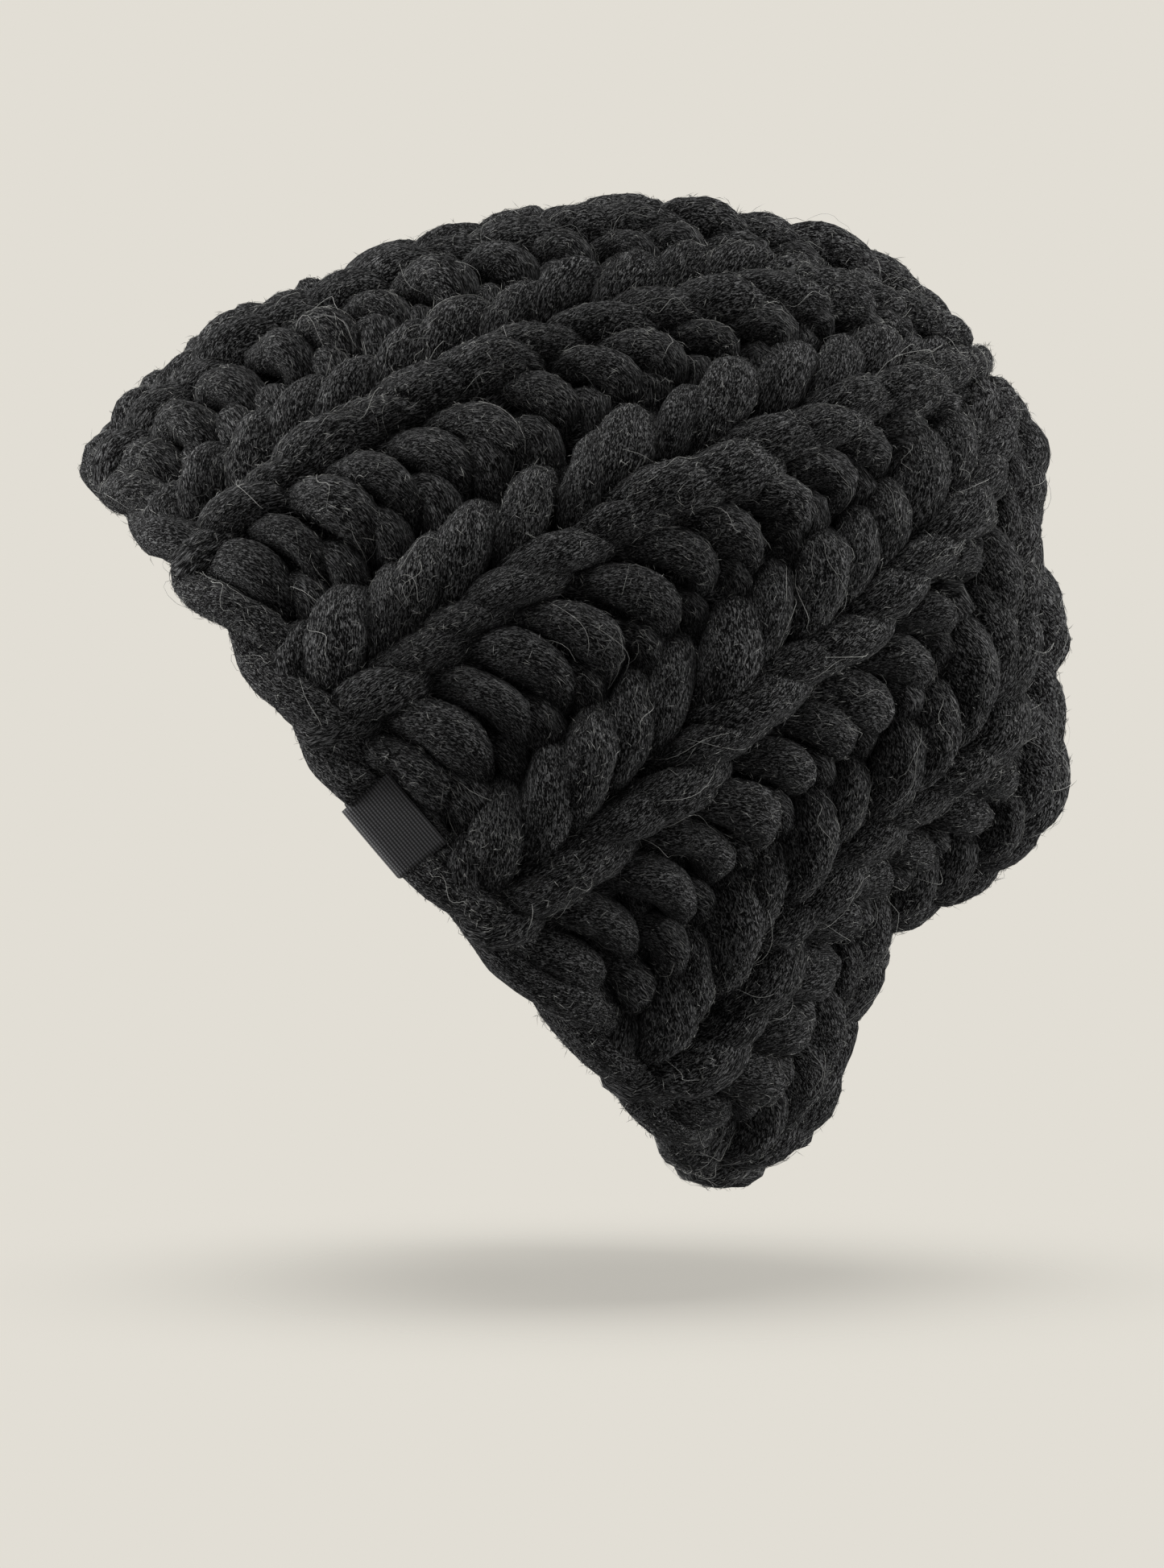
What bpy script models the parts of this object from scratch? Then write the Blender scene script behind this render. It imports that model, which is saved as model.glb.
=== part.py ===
"""Super-chunky one-by-one rib beanie in wool roving, with a folded woven label on the brim.

The knit is one strand, so it is divided the way it unravels: the cast-on edge, each course of
stitches, the gathered crown and the drawn-in yarn end. The front is at -X, the back at +X, and the
brim stands on z = 0. Distances along the fabric are called rise, and distances out from the middle
of its thickness are called out.
"""

import bisect
import math

import bmesh
import bpy
from mathutils import Vector

# Dome, over the stitches, in metres. Its base oval is what the brim would be if it weren't drawn in.
LENGTH = 0.248
WIDTH = 0.208
HEIGHT = 0.193
FULLNESS = 0.922  # exponent of the dome's outline: 1 is an ellipse, less is fuller
BRIM_DRAW_IN = 0.004  # the cast-on edge is tighter than the rib above it
BRIM_DRAW_RISE = 0.025

# Slouch, from the brim up: the front is drawn in over the brow and the nape flares out, then the back folds
# in, hangs out in a lobe over the fold, and is pulled flat from there to the crown.
FRONT_IN = 0.0114
FRONT_RISE = 0.018
NAPE_OUT = 0.0148
NAPE_HEIGHT = 0.0276
NAPE_SPREAD = 0.019
FOLD_IN = 0.0067
FOLD_HEIGHT = 0.0825
FOLD_SPREAD = 0.015
LOBE_OUT = 0.012
LOBE_DROP = 0.071  # from the top of the dome down, as is the pull
LOBE_SPREAD = 0.018
PULL_IN = 0.015
PULL_DROP = 0.027
PULL_SPREAD = 0.018
CROWN_BACK = 0.012  # the gathered crown sits behind the middle, and towards the label's side
CROWN_SIDE = -0.006

# Stitches. One repeat is a knit wale (a leaf-shaped left leg and a rope-like right leg) and a purl wale.
REPEATS = 12
COURSES = 14
FIRST_REPEAT = math.radians(2.4)
YARN = 0.017
BULGE = 0.0035  # how far a stitch swells between its two edges
V_DEPTH = 0.015  # height of the V that the two knit legs make
BRIM_V_SHARES = (0.35, 0.60, 0.85)  # the V opens up over the first courses
ROPE_OUT = 0.0085
LEAF_OUT = 0.0070
PURL_OUT = 0.0050
VALLEY_OUT = 0.0030
GROOVE_OUT = 0.0015
COURSE_GAP = 0.0009  # along the fabric, about 0.3 mm square to a leg of the V

# Brim edge and crown.
CAST_ON_RISE = 0.014
STRANDS_PER_REPEAT = 2
STRAND_OUT = 0.0075
GATHER_RADIUS = 0.026
HOLE_RADIUS = 0.0065
CROWN_OUT = 0.0060

# Label, folded over the brim edge.
LABEL_WIDTH = 0.020
LABEL_HEIGHT = 0.0145
LABEL_THICKNESS = 0.0009
LABEL_ANGLE = math.radians(268.5)
LABEL_SEAT_OUT = 0.0040  # the yarn is pressed back to here under the label
CLEARANCE = 0.0006

# The columns of one repeat: its share of the way round, the height of the course line as a share of
# the V, and how far the yarn stands out.
LEAF_END = 0.28
ROPE_END = 0.52
COLUMNS = (
    (0.0, 0.30, GROOVE_OUT),
    (LEAF_END / 2, -0.15, LEAF_OUT),
    (LEAF_END, -0.70, VALLEY_OUT),
    ((LEAF_END + ROPE_END) / 2, -0.15, ROPE_OUT),
    (ROPE_END, 0.30, GROOVE_OUT),
    (ROPE_END + (1 - ROPE_END) / 3, 0.50, PURL_OUT),
    (ROPE_END + (1 - ROPE_END) * 2 / 3, 0.50, PURL_OUT),
)

MID_LENGTH = LENGTH / 2 - ROPE_OUT
MID_WIDTH = WIDTH / 2 - ROPE_OUT
MID_HEIGHT = HEIGHT - CROWN_OUT
INSIDE = -YARN / 2
STEP = 1e-4

WOOL_COLOUR = (0.026, 0.026, 0.028, 1.0)
LABEL_COLOUR = (0.012, 0.012, 0.013, 1.0)


def swell_at(height, middle, spread):
    """A smooth swell in the outline: 1 at its middle, and gone at twice its spread."""
    return math.exp(-(((height - middle) / spread) ** 2))


def slouch(angle, height):
    """How far the front and the back are pushed towards the back."""
    front = max(0.0, -math.cos(angle)) ** 2 * FRONT_IN * math.exp(-height / FRONT_RISE)
    back = NAPE_OUT * swell_at(height, NAPE_HEIGHT, NAPE_SPREAD)
    back -= FOLD_IN * swell_at(height, FOLD_HEIGHT, FOLD_SPREAD)
    back += LOBE_OUT * swell_at(height, HEIGHT - LOBE_DROP, LOBE_SPREAD)
    back -= PULL_IN * swell_at(height, HEIGHT - PULL_DROP, PULL_SPREAD)
    return front + max(0.0, math.cos(angle)) ** 2 * back


def middle_point(angle, lift):
    """A point midway through the fabric: lift runs from 0 at the brim to pi/2 at the crown."""
    height = MID_HEIGHT * math.sin(lift)
    reach = max(0.0, math.cos(lift)) ** FULLNESS
    draw = BRIM_DRAW_IN * math.exp(-height / BRIM_DRAW_RISE)
    lean = (height / MID_HEIGHT) ** 2
    x = (MID_LENGTH * reach - draw) * math.cos(angle) + slouch(angle, height) + CROWN_BACK * lean
    y = (MID_WIDTH * reach - draw) * math.sin(angle) + CROWN_SIDE * lean
    return Vector((x, y, height))


def meridian():
    """Lifts, and the rise of each, measured up the side between the front and the middle."""
    angle = math.radians(225)
    lifts = [math.pi / 2 * i / 400 for i in range(401)]
    points = [middle_point(angle, lift) for lift in lifts]
    rises = [0.0]
    for before, after in zip(points, points[1:]):
        rises.append(rises[-1] + (after - before).length)
    return lifts, rises


LIFTS, RISES = meridian()
CROWN_RISE = RISES[-1]
GATHER_RISE = CROWN_RISE - GATHER_RADIUS
HOLE_RISE = CROWN_RISE - HOLE_RADIUS
COURSE_PITCH = (GATHER_RISE - CAST_ON_RISE) / COURSES


def lift_at(rise):
    i = min(max(bisect.bisect_right(RISES, rise), 1), len(RISES) - 1)
    share = (rise - RISES[i - 1]) / (RISES[i] - RISES[i - 1])
    return LIFTS[i - 1] + share * (LIFTS[i] - LIFTS[i - 1])


def fabric_point(angle, rise, out):
    """A point at a rise up the fabric and a distance out from its middle."""
    lift = lift_at(rise)
    around = middle_point(angle + STEP, lift) - middle_point(angle - STEP, lift)
    along = middle_point(angle, lift + STEP) - middle_point(angle, lift - STEP)
    return middle_point(angle, lift) + out * around.cross(along).normalized()


def fullness_at(rise):
    """Share of the widest round that is left at a rise: the stitches narrow towards the crown."""
    return max(0.0, math.cos(lift_at(rise))) ** FULLNESS


def columns():
    """Angle, course-line height and yarn height of each column all the way round."""
    turn = 2 * math.pi / REPEATS
    for repeat in range(REPEATS):
        for share, wave, out in COLUMNS:
            yield FIRST_REPEAT + (repeat + share) * turn, wave, out


def course_line(number, wave):
    """Rise of the line between course number and the one below it, on a column."""
    rise = CAST_ON_RISE + number * COURSE_PITCH
    opened = BRIM_V_SHARES[number] if number < len(BRIM_V_SHARES) else 1.0
    return rise + V_DEPTH * opened * fullness_at(rise) * wave


def yarn_out(rise, out):
    """The stitches flatten into one even thickness as they are drawn together at the crown."""
    return CROWN_OUT + (out - CROWN_OUT) * fullness_at(rise)


def label_half_angle():
    """The turn about the hat's axis that half of the label's width takes up."""
    chord = middle_point(LABEL_ANGLE + STEP, 0.0) - middle_point(LABEL_ANGLE - STEP, 0.0)
    return LABEL_WIDTH / 2 * 2 * STEP / chord.length


def under_label(angle):
    """True on the columns that the label covers, and on one column beyond it at each side."""
    away = (angle - LABEL_ANGLE + math.pi) % (2 * math.pi) - math.pi
    widest_column = 2 * math.pi / REPEATS * (1 - ROPE_END) / 3
    return abs(away) < label_half_angle() + widest_column


def pressed(angle, rise, out):
    """Yarn behind the label is pressed back to the label's seat."""
    if under_label(angle) and rise < LABEL_HEIGHT + 1.5 * COURSE_PITCH:
        return min(out, LABEL_SEAT_OUT)
    return out


def section(angle, low, high, out, swell_share=0.5):
    """One cut through a course: flat on the head's side, swelling outwards between its edges."""
    swell = low + swell_share * (high - low)
    edge_low = pressed(angle, low, yarn_out(low, out) - BULGE)
    edge_high = pressed(angle, high, yarn_out(high, out) - BULGE)
    return [
        fabric_point(angle, low, INSIDE),
        fabric_point(angle, low, edge_low),
        fabric_point(angle, swell, pressed(angle, swell, yarn_out(swell, out))),
        fabric_point(angle, high, edge_high),
        fabric_point(angle, high, INSIDE),
    ]


def wool_material():
    return plain_material("wool_roving", WOOL_COLOUR, 0.95)


def label_material():
    return plain_material("woven_polyester", LABEL_COLOUR, 0.8)


def plain_material(name, colour, roughness):
    material = bpy.data.materials.new(name)
    material.use_nodes = True
    shader = material.node_tree.nodes["Principled BSDF"]
    shader.inputs["Base Color"].default_value = colour
    shader.inputs["Roughness"].default_value = roughness
    shader.inputs["Metallic"].default_value = 0.0
    return material


def loft(name, sections, material, parent, closed):
    """Skins a row of like sections, either into a ring or into a strip with two capped ends."""
    body = bmesh.new()
    rows = [[body.verts.new(point) for point in points] for points in sections]
    count = len(rows[0])
    joints = list(zip(rows, rows[1:]))
    if closed:
        joints.append((rows[-1], rows[0]))
    else:
        body.faces.new(rows[0])
        body.faces.new(rows[-1])
    for row, after in joints:
        # The lower face is split like the upper face of the course below, so the two lie parallel.
        body.faces.new((row[0], row[1], after[0]))
        body.faces.new((row[1], after[1], after[0]))
        for i in range(1, count):
            j = (i + 1) % count
            body.faces.new((row[i], row[j], after[j]))
            body.faces.new((row[i], after[j], after[i]))
    bmesh.ops.recalc_face_normals(body, faces=body.faces)
    return add_object(name, body, material, parent)


def add_object(name, body, material, parent):
    mesh = bpy.data.meshes.new(name)
    body.to_mesh(mesh)
    body.free()
    mesh.shade_smooth()
    mesh.materials.append(material)
    obj = bpy.data.objects.new(name, mesh)
    obj.parent = parent
    bpy.context.scene.collection.objects.link(obj)
    return obj


def cast_on_edge(material, parent):
    """The first row: slanted strands along the edge, cut flat below where the hat stands on them."""
    strands = REPEATS * STRANDS_PER_REPEAT
    sections = []
    for angle, wave, _ in columns():
        along = (angle - FIRST_REPEAT) / (2 * math.pi) * strands % 1
        out = GROOVE_OUT + BULGE + (STRAND_OUT - GROOVE_OUT - BULGE) * math.sin(math.pi * along)
        high = course_line(0, wave) - COURSE_GAP / 2
        points = section(angle, 0.0, high, out, 0.3 + 0.4 * along)
        floor = LABEL_THICKNESS + CLEARANCE if under_label(angle) else 0.0
        points[0].z = floor
        points[1].z = floor
        sections.append(points)
    return loft("cast_on_edge", sections, material, parent, closed=True)


def rib_course(number, material, parent):
    sections = []
    for angle, wave, out in columns():
        low = course_line(number, wave) + COURSE_GAP / 2
        high = course_line(number + 1, wave) - COURSE_GAP / 2
        sections.append(section(angle, low, high, out))
    return loft(f"rib_course_{number + 1:02d}", sections, material, parent, closed=True)


def crown_gather(material, parent):
    sections = []
    for angle, wave, out in columns():
        low = course_line(COURSES, wave) + COURSE_GAP / 2
        sections.append(section(angle, low, HOLE_RISE, out))
    return loft("crown_gather", sections, material, parent, closed=True)


def closing_yarn(material, parent):
    """The drawn-in end: a small round bundle that fills the hole in the gather."""
    sides = 24
    levels = ((INSIDE, 0.35), (INSIDE + BULGE, 0.0), (CROWN_OUT - 2 * BULGE, 0.0), (CROWN_OUT - BULGE, 0.35))
    body = bmesh.new()
    rows = []
    for out, drawn in levels:
        rise = HOLE_RISE + CLEARANCE + drawn * HOLE_RADIUS
        ring = []
        for i in range(sides):
            ring.append(body.verts.new(fabric_point(2 * math.pi * i / sides, rise, out)))
        rows.append(ring)
    for row, after in zip(rows, rows[1:]):
        for i in range(sides):
            j = (i + 1) % sides
            body.faces.new((row[i], row[j], after[j], after[i]))
    body.faces.new(rows[0])
    body.faces.new(rows[-1])
    bmesh.ops.recalc_face_normals(body, faces=body.faces)
    return add_object("closing_yarn", body, material, parent)


def brim_label(material, parent):
    """A woven strip, up the outside of the brim, under its edge and up the inside."""
    outer = LABEL_SEAT_OUT + CLEARANCE
    inner = INSIDE - CLEARANCE
    half_angle = label_half_angle()
    steps = 6
    sections = []
    for i in range(steps + 1):
        angle = LABEL_ANGLE + half_angle * (2 * i / steps - 1)
        points = [
            fabric_point(angle, LABEL_HEIGHT, outer + LABEL_THICKNESS),
            fabric_point(angle, LABEL_HEIGHT, outer),
            fabric_point(angle, LABEL_HEIGHT / 2, outer),
            fabric_point(angle, LABEL_THICKNESS, outer),
            fabric_point(angle, LABEL_THICKNESS, inner),
            fabric_point(angle, LABEL_HEIGHT / 2, inner),
            fabric_point(angle, LABEL_HEIGHT, inner),
            fabric_point(angle, LABEL_HEIGHT, inner - LABEL_THICKNESS),
            fabric_point(angle, LABEL_HEIGHT / 2, inner - LABEL_THICKNESS),
            fabric_point(angle, LABEL_THICKNESS, inner - LABEL_THICKNESS),
            fabric_point(angle, 0.0, inner),
            fabric_point(angle, 0.0, outer),
            fabric_point(angle, LABEL_THICKNESS, outer + LABEL_THICKNESS),
            fabric_point(angle, LABEL_HEIGHT / 2, outer + LABEL_THICKNESS),
        ]
        for k in (3, 4, 9, 12):
            points[k].z = LABEL_THICKNESS
        for k in (10, 11):
            points[k].z = 0.0
        sections.append(points)
    return loft("brim_label", sections, material, parent, closed=False)


def centre_plan(root, pieces):
    """Moves the hat so that its plan box is centred on the origin."""
    corners = [vertex.co for piece in pieces for vertex in piece.data.vertices]
    for axis in (0, 1):
        values = [corner[axis] for corner in corners]
        root.location[axis] = -(min(values) + max(values)) / 2


def build():
    for obj in list(bpy.data.objects):
        bpy.data.objects.remove(obj)
    root = bpy.data.objects.new("beanie", None)
    bpy.context.scene.collection.objects.link(root)
    wool = wool_material()
    pieces = [cast_on_edge(wool, root)]
    pieces += [rib_course(number, wool, root) for number in range(COURSES)]
    pieces.append(crown_gather(wool, root))
    pieces.append(closing_yarn(wool, root))
    pieces.append(brim_label(label_material(), root))
    centre_plan(root, pieces)


build()
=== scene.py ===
"""A super-chunky rib beanie in dark wool roving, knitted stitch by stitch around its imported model.

The front of the hat is at -X, the label's side at -Y, and the brim stands on z = 0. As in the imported
model, rise is measured up the fabric from the brim, and out from the middle of its thickness. Lengths are
in metres, and MM is one millimetre.
"""

import math

import bpy
import numpy as np
from mathutils import Matrix, Vector


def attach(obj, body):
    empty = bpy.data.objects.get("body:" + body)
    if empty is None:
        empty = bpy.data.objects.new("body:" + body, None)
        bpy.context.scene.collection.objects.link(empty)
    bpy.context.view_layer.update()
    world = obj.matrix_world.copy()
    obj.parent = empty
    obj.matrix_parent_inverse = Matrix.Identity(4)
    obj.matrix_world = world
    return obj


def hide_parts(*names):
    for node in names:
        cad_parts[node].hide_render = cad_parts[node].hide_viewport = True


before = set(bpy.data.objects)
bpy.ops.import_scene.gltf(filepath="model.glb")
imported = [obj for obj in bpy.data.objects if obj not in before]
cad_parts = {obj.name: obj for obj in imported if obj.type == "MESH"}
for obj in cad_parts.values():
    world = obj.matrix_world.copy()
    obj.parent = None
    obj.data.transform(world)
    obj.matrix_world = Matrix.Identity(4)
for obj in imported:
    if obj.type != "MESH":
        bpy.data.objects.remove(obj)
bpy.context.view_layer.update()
bpy.ops.object.select_all(action="DESELECT")

# Cast-on edge: the first row of the knit, which binds the brim like a two-ply rope of roving.
# Each ply winds once round the edge in every repeat of the rib, and the hat's own shape guides it.
LENGTH, WIDTH, HEIGHT = 0.248, 0.208, 0.193
ROPE_OUT, CROWN_OUT = 0.0085, 0.0060
MID_LENGTH, MID_WIDTH, MID_HEIGHT = LENGTH / 2 - ROPE_OUT, WIDTH / 2 - ROPE_OUT, HEIGHT - CROWN_OUT
FULLNESS = 0.922
BRIM_DRAW_IN, BRIM_DRAW_RISE = 0.004, 0.025
FRONT_IN, FRONT_RISE = 0.0114, 0.018
# The slouch of the back: how far each swell stands out, its height and its spread. The crown leans back and
# towards the label's side.
NAPE, FOLD = (0.0148, 0.0276, 0.019), (-0.0067, 0.0825, 0.015)
LOBE, PULL = (0.012, 0.122, 0.018), (-0.015, 0.166, 0.018)
CROWN_BACK, CROWN_SIDE = 0.012, -0.006
# Between the front, the back and the middle of each side, the brim lifts a little off what it rests on,
# and so does the nape.
BRIM_WAVE, NAPE_LIFT, BRIM_WAVE_RISE = 0.004, 0.004, 0.022
PLAN_SHIFT = (-0.00773, -0.00041)
REPEATS = 12
TURN = 2 * math.pi / REPEATS
FIRST_REPEAT = math.radians(2.4)
MM = 0.001

rng = np.random.default_rng(11)


def middle_point(angle, lift):
    """Points midway through the fabric: lift runs from 0 at the brim to pi/2 at the crown."""
    height = MID_HEIGHT * np.sin(lift)
    reach = np.clip(np.cos(lift), 0.0, None) ** FULLNESS
    draw = BRIM_DRAW_IN * np.exp(-height / BRIM_DRAW_RISE)
    lean = (height / MID_HEIGHT) ** 2
    at_front = np.clip(-np.cos(angle), 0.0, None) ** 2
    at_back = np.clip(np.cos(angle), 0.0, None) ** 2
    slouch = at_front * FRONT_IN * np.exp(-height / FRONT_RISE)
    for amount, middle, spread in (NAPE, FOLD, LOBE, PULL):
        slouch = slouch + at_back * amount * np.exp(-(((height - middle) / spread) ** 2))
    x = (MID_LENGTH * reach - draw) * np.cos(angle) + slouch + CROWN_BACK * lean + PLAN_SHIFT[0]
    y = (MID_WIDTH * reach - draw) * np.sin(angle) + CROWN_SIDE * lean + PLAN_SHIFT[1]
    wave = BRIM_WAVE * np.sin(2 * angle) ** 2 + NAPE_LIFT * at_back
    return np.stack((x, y, height + wave * np.exp(-height / BRIM_WAVE_RISE)), axis=-1)


# Rise is measured along one line up the fabric, midway between the front and the label's side.
RISE_ANGLE, RISE_POINTS = math.radians(225), 401
LIFTS = np.linspace(0.0, math.pi / 2, RISE_POINTS)
TOP_LIFT = math.pi / 2 - 0.002
side_line = middle_point(np.full(RISE_POINTS, RISE_ANGLE), LIFTS)
RISES = np.concatenate(([0.0], np.cumsum(np.linalg.norm(np.diff(side_line, axis=0), axis=1))))
CROWN_RISE = RISES[-1]


def unit(vectors):
    """The same directions at length one."""
    return vectors / np.maximum(np.linalg.norm(vectors, axis=-1, keepdims=True), 1e-12)


def fabric_point(angle, rise, out):
    """Points at a rise up the fabric and a distance out from its middle, and which way is out there."""
    lift = np.minimum(np.interp(rise, RISES, LIFTS), TOP_LIFT)
    step = 1e-4
    around = middle_point(angle + step, lift) - middle_point(angle - step, lift)
    along = middle_point(angle, lift + step) - middle_point(angle, lift - step)
    outward = unit(np.cross(around, along))
    return middle_point(angle, lift) + outward * np.asarray(out)[..., None], outward


def strand_way(angle, rise, out, radius):
    """Rows of x, y, z, radius, out and outward direction, for the points that a strand passes."""
    place, outward = fabric_point(angle, rise, out)
    return np.column_stack((place, radius, out, outward))


def fullness_at(rise):
    """Share of the widest round that is left at a rise."""
    return np.clip(np.cos(np.interp(rise, RISES, LIFTS)), 0.0, None) ** FULLNESS


CURVE_STEPS = 12
LEAST_RINGS = 8


def smooth_loop(points, spacing):
    """Even steps along a closed curve through rows of x, y, z and what goes with them."""
    before, after, later = np.roll(points, 1, 0), np.roll(points, -1, 0), np.roll(points, -2, 0)
    gap = np.sqrt(np.linalg.norm((after - points)[:, :3], axis=1))[:, None]
    gap_before, gap_after = np.roll(gap, 1, 0), np.roll(gap, -1, 0)
    leave = (points - before) / gap_before - (after - before) / (gap_before + gap) + (after - points) / gap
    arrive = (after - points) / gap - (later - points) / (gap + gap_after) + (later - after) / gap_after
    t = np.linspace(0.0, 1.0, CURVE_STEPS, endpoint=False)[None, :, None]
    p, q = points[:, None], after[:, None]
    m, n = (leave * gap)[:, None], (arrive * gap)[:, None]
    curve = (2 * t**3 - 3 * t**2 + 1) * p + (t**3 - 2 * t**2 + t) * m
    curve = curve + (3 * t**2 - 2 * t**3) * q + (t**3 - t**2) * n
    curve = curve.reshape(-1, points.shape[1])
    closed = np.vstack((curve, curve[:1]))
    length = np.concatenate(([0.0], np.cumsum(np.linalg.norm(np.diff(closed[:, :3], axis=0), axis=1))))
    steps = max(LEAST_RINGS, round(length[-1] / spacing))
    at = np.arange(steps) * length[-1] / steps
    return np.stack([np.interp(at, length, closed[:, k]) for k in range(points.shape[1])], axis=1), length[-1]


LABEL_ANGLE = math.radians(268.5)
LABEL_WIDTH, LABEL_HEIGHT = 0.020, 0.0145
LABEL_OUT = 0.0048
FACE_SPAN, FACE_POINTS = 0.3, 61
PRESS_SLOPE, PRESS_DEPTH, PRESS_REACH = 1.6, 0.7 * MM, 6 * MM
SETTLE = 1.2 * MM


def label_face(x):
    """How far out, along -Y, the inside of the label lies across its width."""
    angle = np.linspace(LABEL_ANGLE - FACE_SPAN, LABEL_ANGLE + FACE_SPAN, FACE_POINTS)
    rise, out = np.full(FACE_POINTS, LABEL_HEIGHT / 2), np.full(FACE_POINTS, LABEL_OUT)
    place, _ = fabric_point(angle, rise, out)
    return np.interp(x, place[:, 0], place[:, 1])


def pressed(points):
    """Roving under the sewn-on label is pressed flat, and rises again round its sides and top."""
    middle = fabric_point(np.array([LABEL_ANGLE]), np.array([0.0]), np.array([0.0]))[0][0, 0]
    beside = np.maximum(np.abs(points[..., 0] - middle) - LABEL_WIDTH / 2, 0.0)
    above = np.maximum(points[..., 2] - LABEL_HEIGHT, 0.0)
    away = np.hypot(beside, above)
    nearest = label_face(points[..., 0]) - (PRESS_SLOPE * away - PRESS_DEPTH)
    covered = (points[..., 1] < nearest) & (away < PRESS_REACH)
    points = points.copy()
    points[..., 1] = np.where(covered, nearest, points[..., 1])
    return points


def settled(points):
    """The brim rests on a surface, which flattens the lowest of the yarn."""
    points = points.copy()
    points[..., 2] = 0.5 * (points[..., 2] + np.hypot(points[..., 2], SETTLE))
    return points


def slow_noise(count, wander):
    """Smooth closed noise of unit spread, with a new value every so many steps."""
    knots = max(4, round(count / wander))
    values = rng.normal(size=knots)
    at = np.arange(count) * knots / count
    low = at.astype(int)
    share = at - low
    ease = share * share * (3 - 2 * share)
    return values[low % knots] * (1 - ease) + values[(low + 1) % knots] * ease


RING_STEP = 2.2 * MM
SIDES = 16
TWIST_LENGTH = 0.11
PUFF, PINCH = 1.12, 0.93
# How uneven the roving is: a share of its radius and how many rings it takes to change, then the lumps
# round it: their share, how many there are, how far they drift and how many rings that takes.
THICK_AND_THIN = ((0.06, 6), (0.035, 2.5))
LUMPS = ((0.05, 2, 2.0, 7), (0.04, 3, 2.0, 5), (0.025, 5, 2.5, 4))
# The flat layout of a strand's skin, for baking: the margins of a row and what is left between them.
ROW_MARGIN, ROW_FILL = 0.04, 0.92
END_MARGIN, END_FILL = 0.01, 0.98
strands = []


def yarn_piece(name, way, material):
    """A closed loop of roving: thick and thin, never quite round, with its fibres' own coordinates."""
    path, length = smooth_loop(way, RING_STEP)
    count = len(path)
    centre = path[:, :3]
    uneven = 1.0
    for amount, wander in THICK_AND_THIN:
        uneven = uneven + amount * slow_noise(count, wander)
    radius = path[:, 3] * uneven
    ahead = unit(np.roll(centre, -1, 0) - np.roll(centre, 1, 0))
    side = np.empty_like(ahead)
    side[0] = unit(np.cross(ahead[0], (0.0, 0.0, 1.0)))
    for i in range(1, count):
        side[i] = unit(side[i - 1] - ahead[i] * np.dot(side[i - 1], ahead[i]))
    last = side[-1] - ahead[0] * np.dot(side[-1], ahead[0])
    miss = math.atan2(np.dot(np.cross(side[0], last), ahead[0]), np.dot(side[0], last))
    untwist = -miss * np.arange(count) / count
    turned = np.cross(ahead, side)
    over = np.cos(untwist)[:, None] * turned - np.sin(untwist)[:, None] * side
    side = np.cos(untwist)[:, None] * side + np.sin(untwist)[:, None] * turned
    around = np.arange(SIDES) * 2 * math.pi / SIDES
    lumps = 0.0
    for amount, many, drift, wander in LUMPS:
        lumps = lumps + amount * np.cos(many * around + drift * slow_noise(count, wander)[:, None])
    reach = radius[:, None] * (1 + lumps)
    radial = np.cos(around)[None, :, None] * side[:, None] + np.sin(around)[None, :, None] * over[:, None]
    offset = reach[..., None] * radial
    facing = path[:, None, 5:8]
    offset = PINCH * offset + (PUFF - PINCH) * np.sum(offset * facing, axis=-1, keepdims=True) * facing
    points = settled(pressed(centre[:, None] + offset))
    strands.append((points, unit(offset), path[:, 4], path[:, 5:8], radius))

    ring, step = np.meshgrid(np.arange(count), np.arange(SIDES), indexing="ij")
    corners_ring = np.stack((ring, ring, ring + 1, ring + 1), axis=-1).reshape(-1)
    corners_step = np.stack((step, step + 1, step + 1, step), axis=-1).reshape(-1)
    mesh = bpy.data.meshes.new(name)
    mesh.vertices.add(count * SIDES)
    mesh.vertices.foreach_set("co", points.reshape(-1))
    mesh.loops.add(count * SIDES * 4)
    mesh.loops.foreach_set("vertex_index", (corners_ring % count) * SIDES + corners_step % SIDES)
    mesh.polygons.add(count * SIDES)
    mesh.polygons.foreach_set("loop_start", np.arange(count * SIDES) * 4)
    mesh.update(calc_edges=True)
    mesh.shade_smooth()

    along = corners_ring * length / count
    spin = corners_step * 2 * math.pi / SIDES + along * 2 * math.pi / TWIST_LENGTH
    mean = radius.mean()
    fibre = np.stack((mean * np.cos(spin), mean * np.sin(spin), along), axis=-1)
    mesh.attributes.new("yarn", "FLOAT_VECTOR", "CORNER").data.foreach_set("vector", fibre.reshape(-1))

    rows = max(1, round(math.sqrt(length / (2 * math.pi * mean))))
    per_row = math.ceil(count / rows)
    row = np.repeat(np.arange(count) // per_row, SIDES * 4)
    across = (corners_ring - row * per_row) / per_row
    up = (row + ROW_MARGIN + ROW_FILL * corners_step / SIDES) / rows
    flat = mesh.uv_layers.new(name="OFBake")
    flat.data.foreach_set("uv", np.stack((END_MARGIN + END_FILL * across, up), axis=-1).reshape(-1))

    piece = bpy.data.objects.new(name, mesh)
    bpy.context.scene.collection.objects.link(piece)
    mesh.materials.append(material)
    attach(piece, "root")
    return piece


def linear(hex_colour):
    """An sRGB hex colour as Blender's linear RGBA."""
    shades = [int(hex_colour[i : i + 2], 16) / 255 for i in (1, 3, 5)]
    return [s / 12.92 if s <= 0.04045 else ((s + 0.055) / 1.055) ** 2.4 for s in shades] + [1.0]


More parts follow.
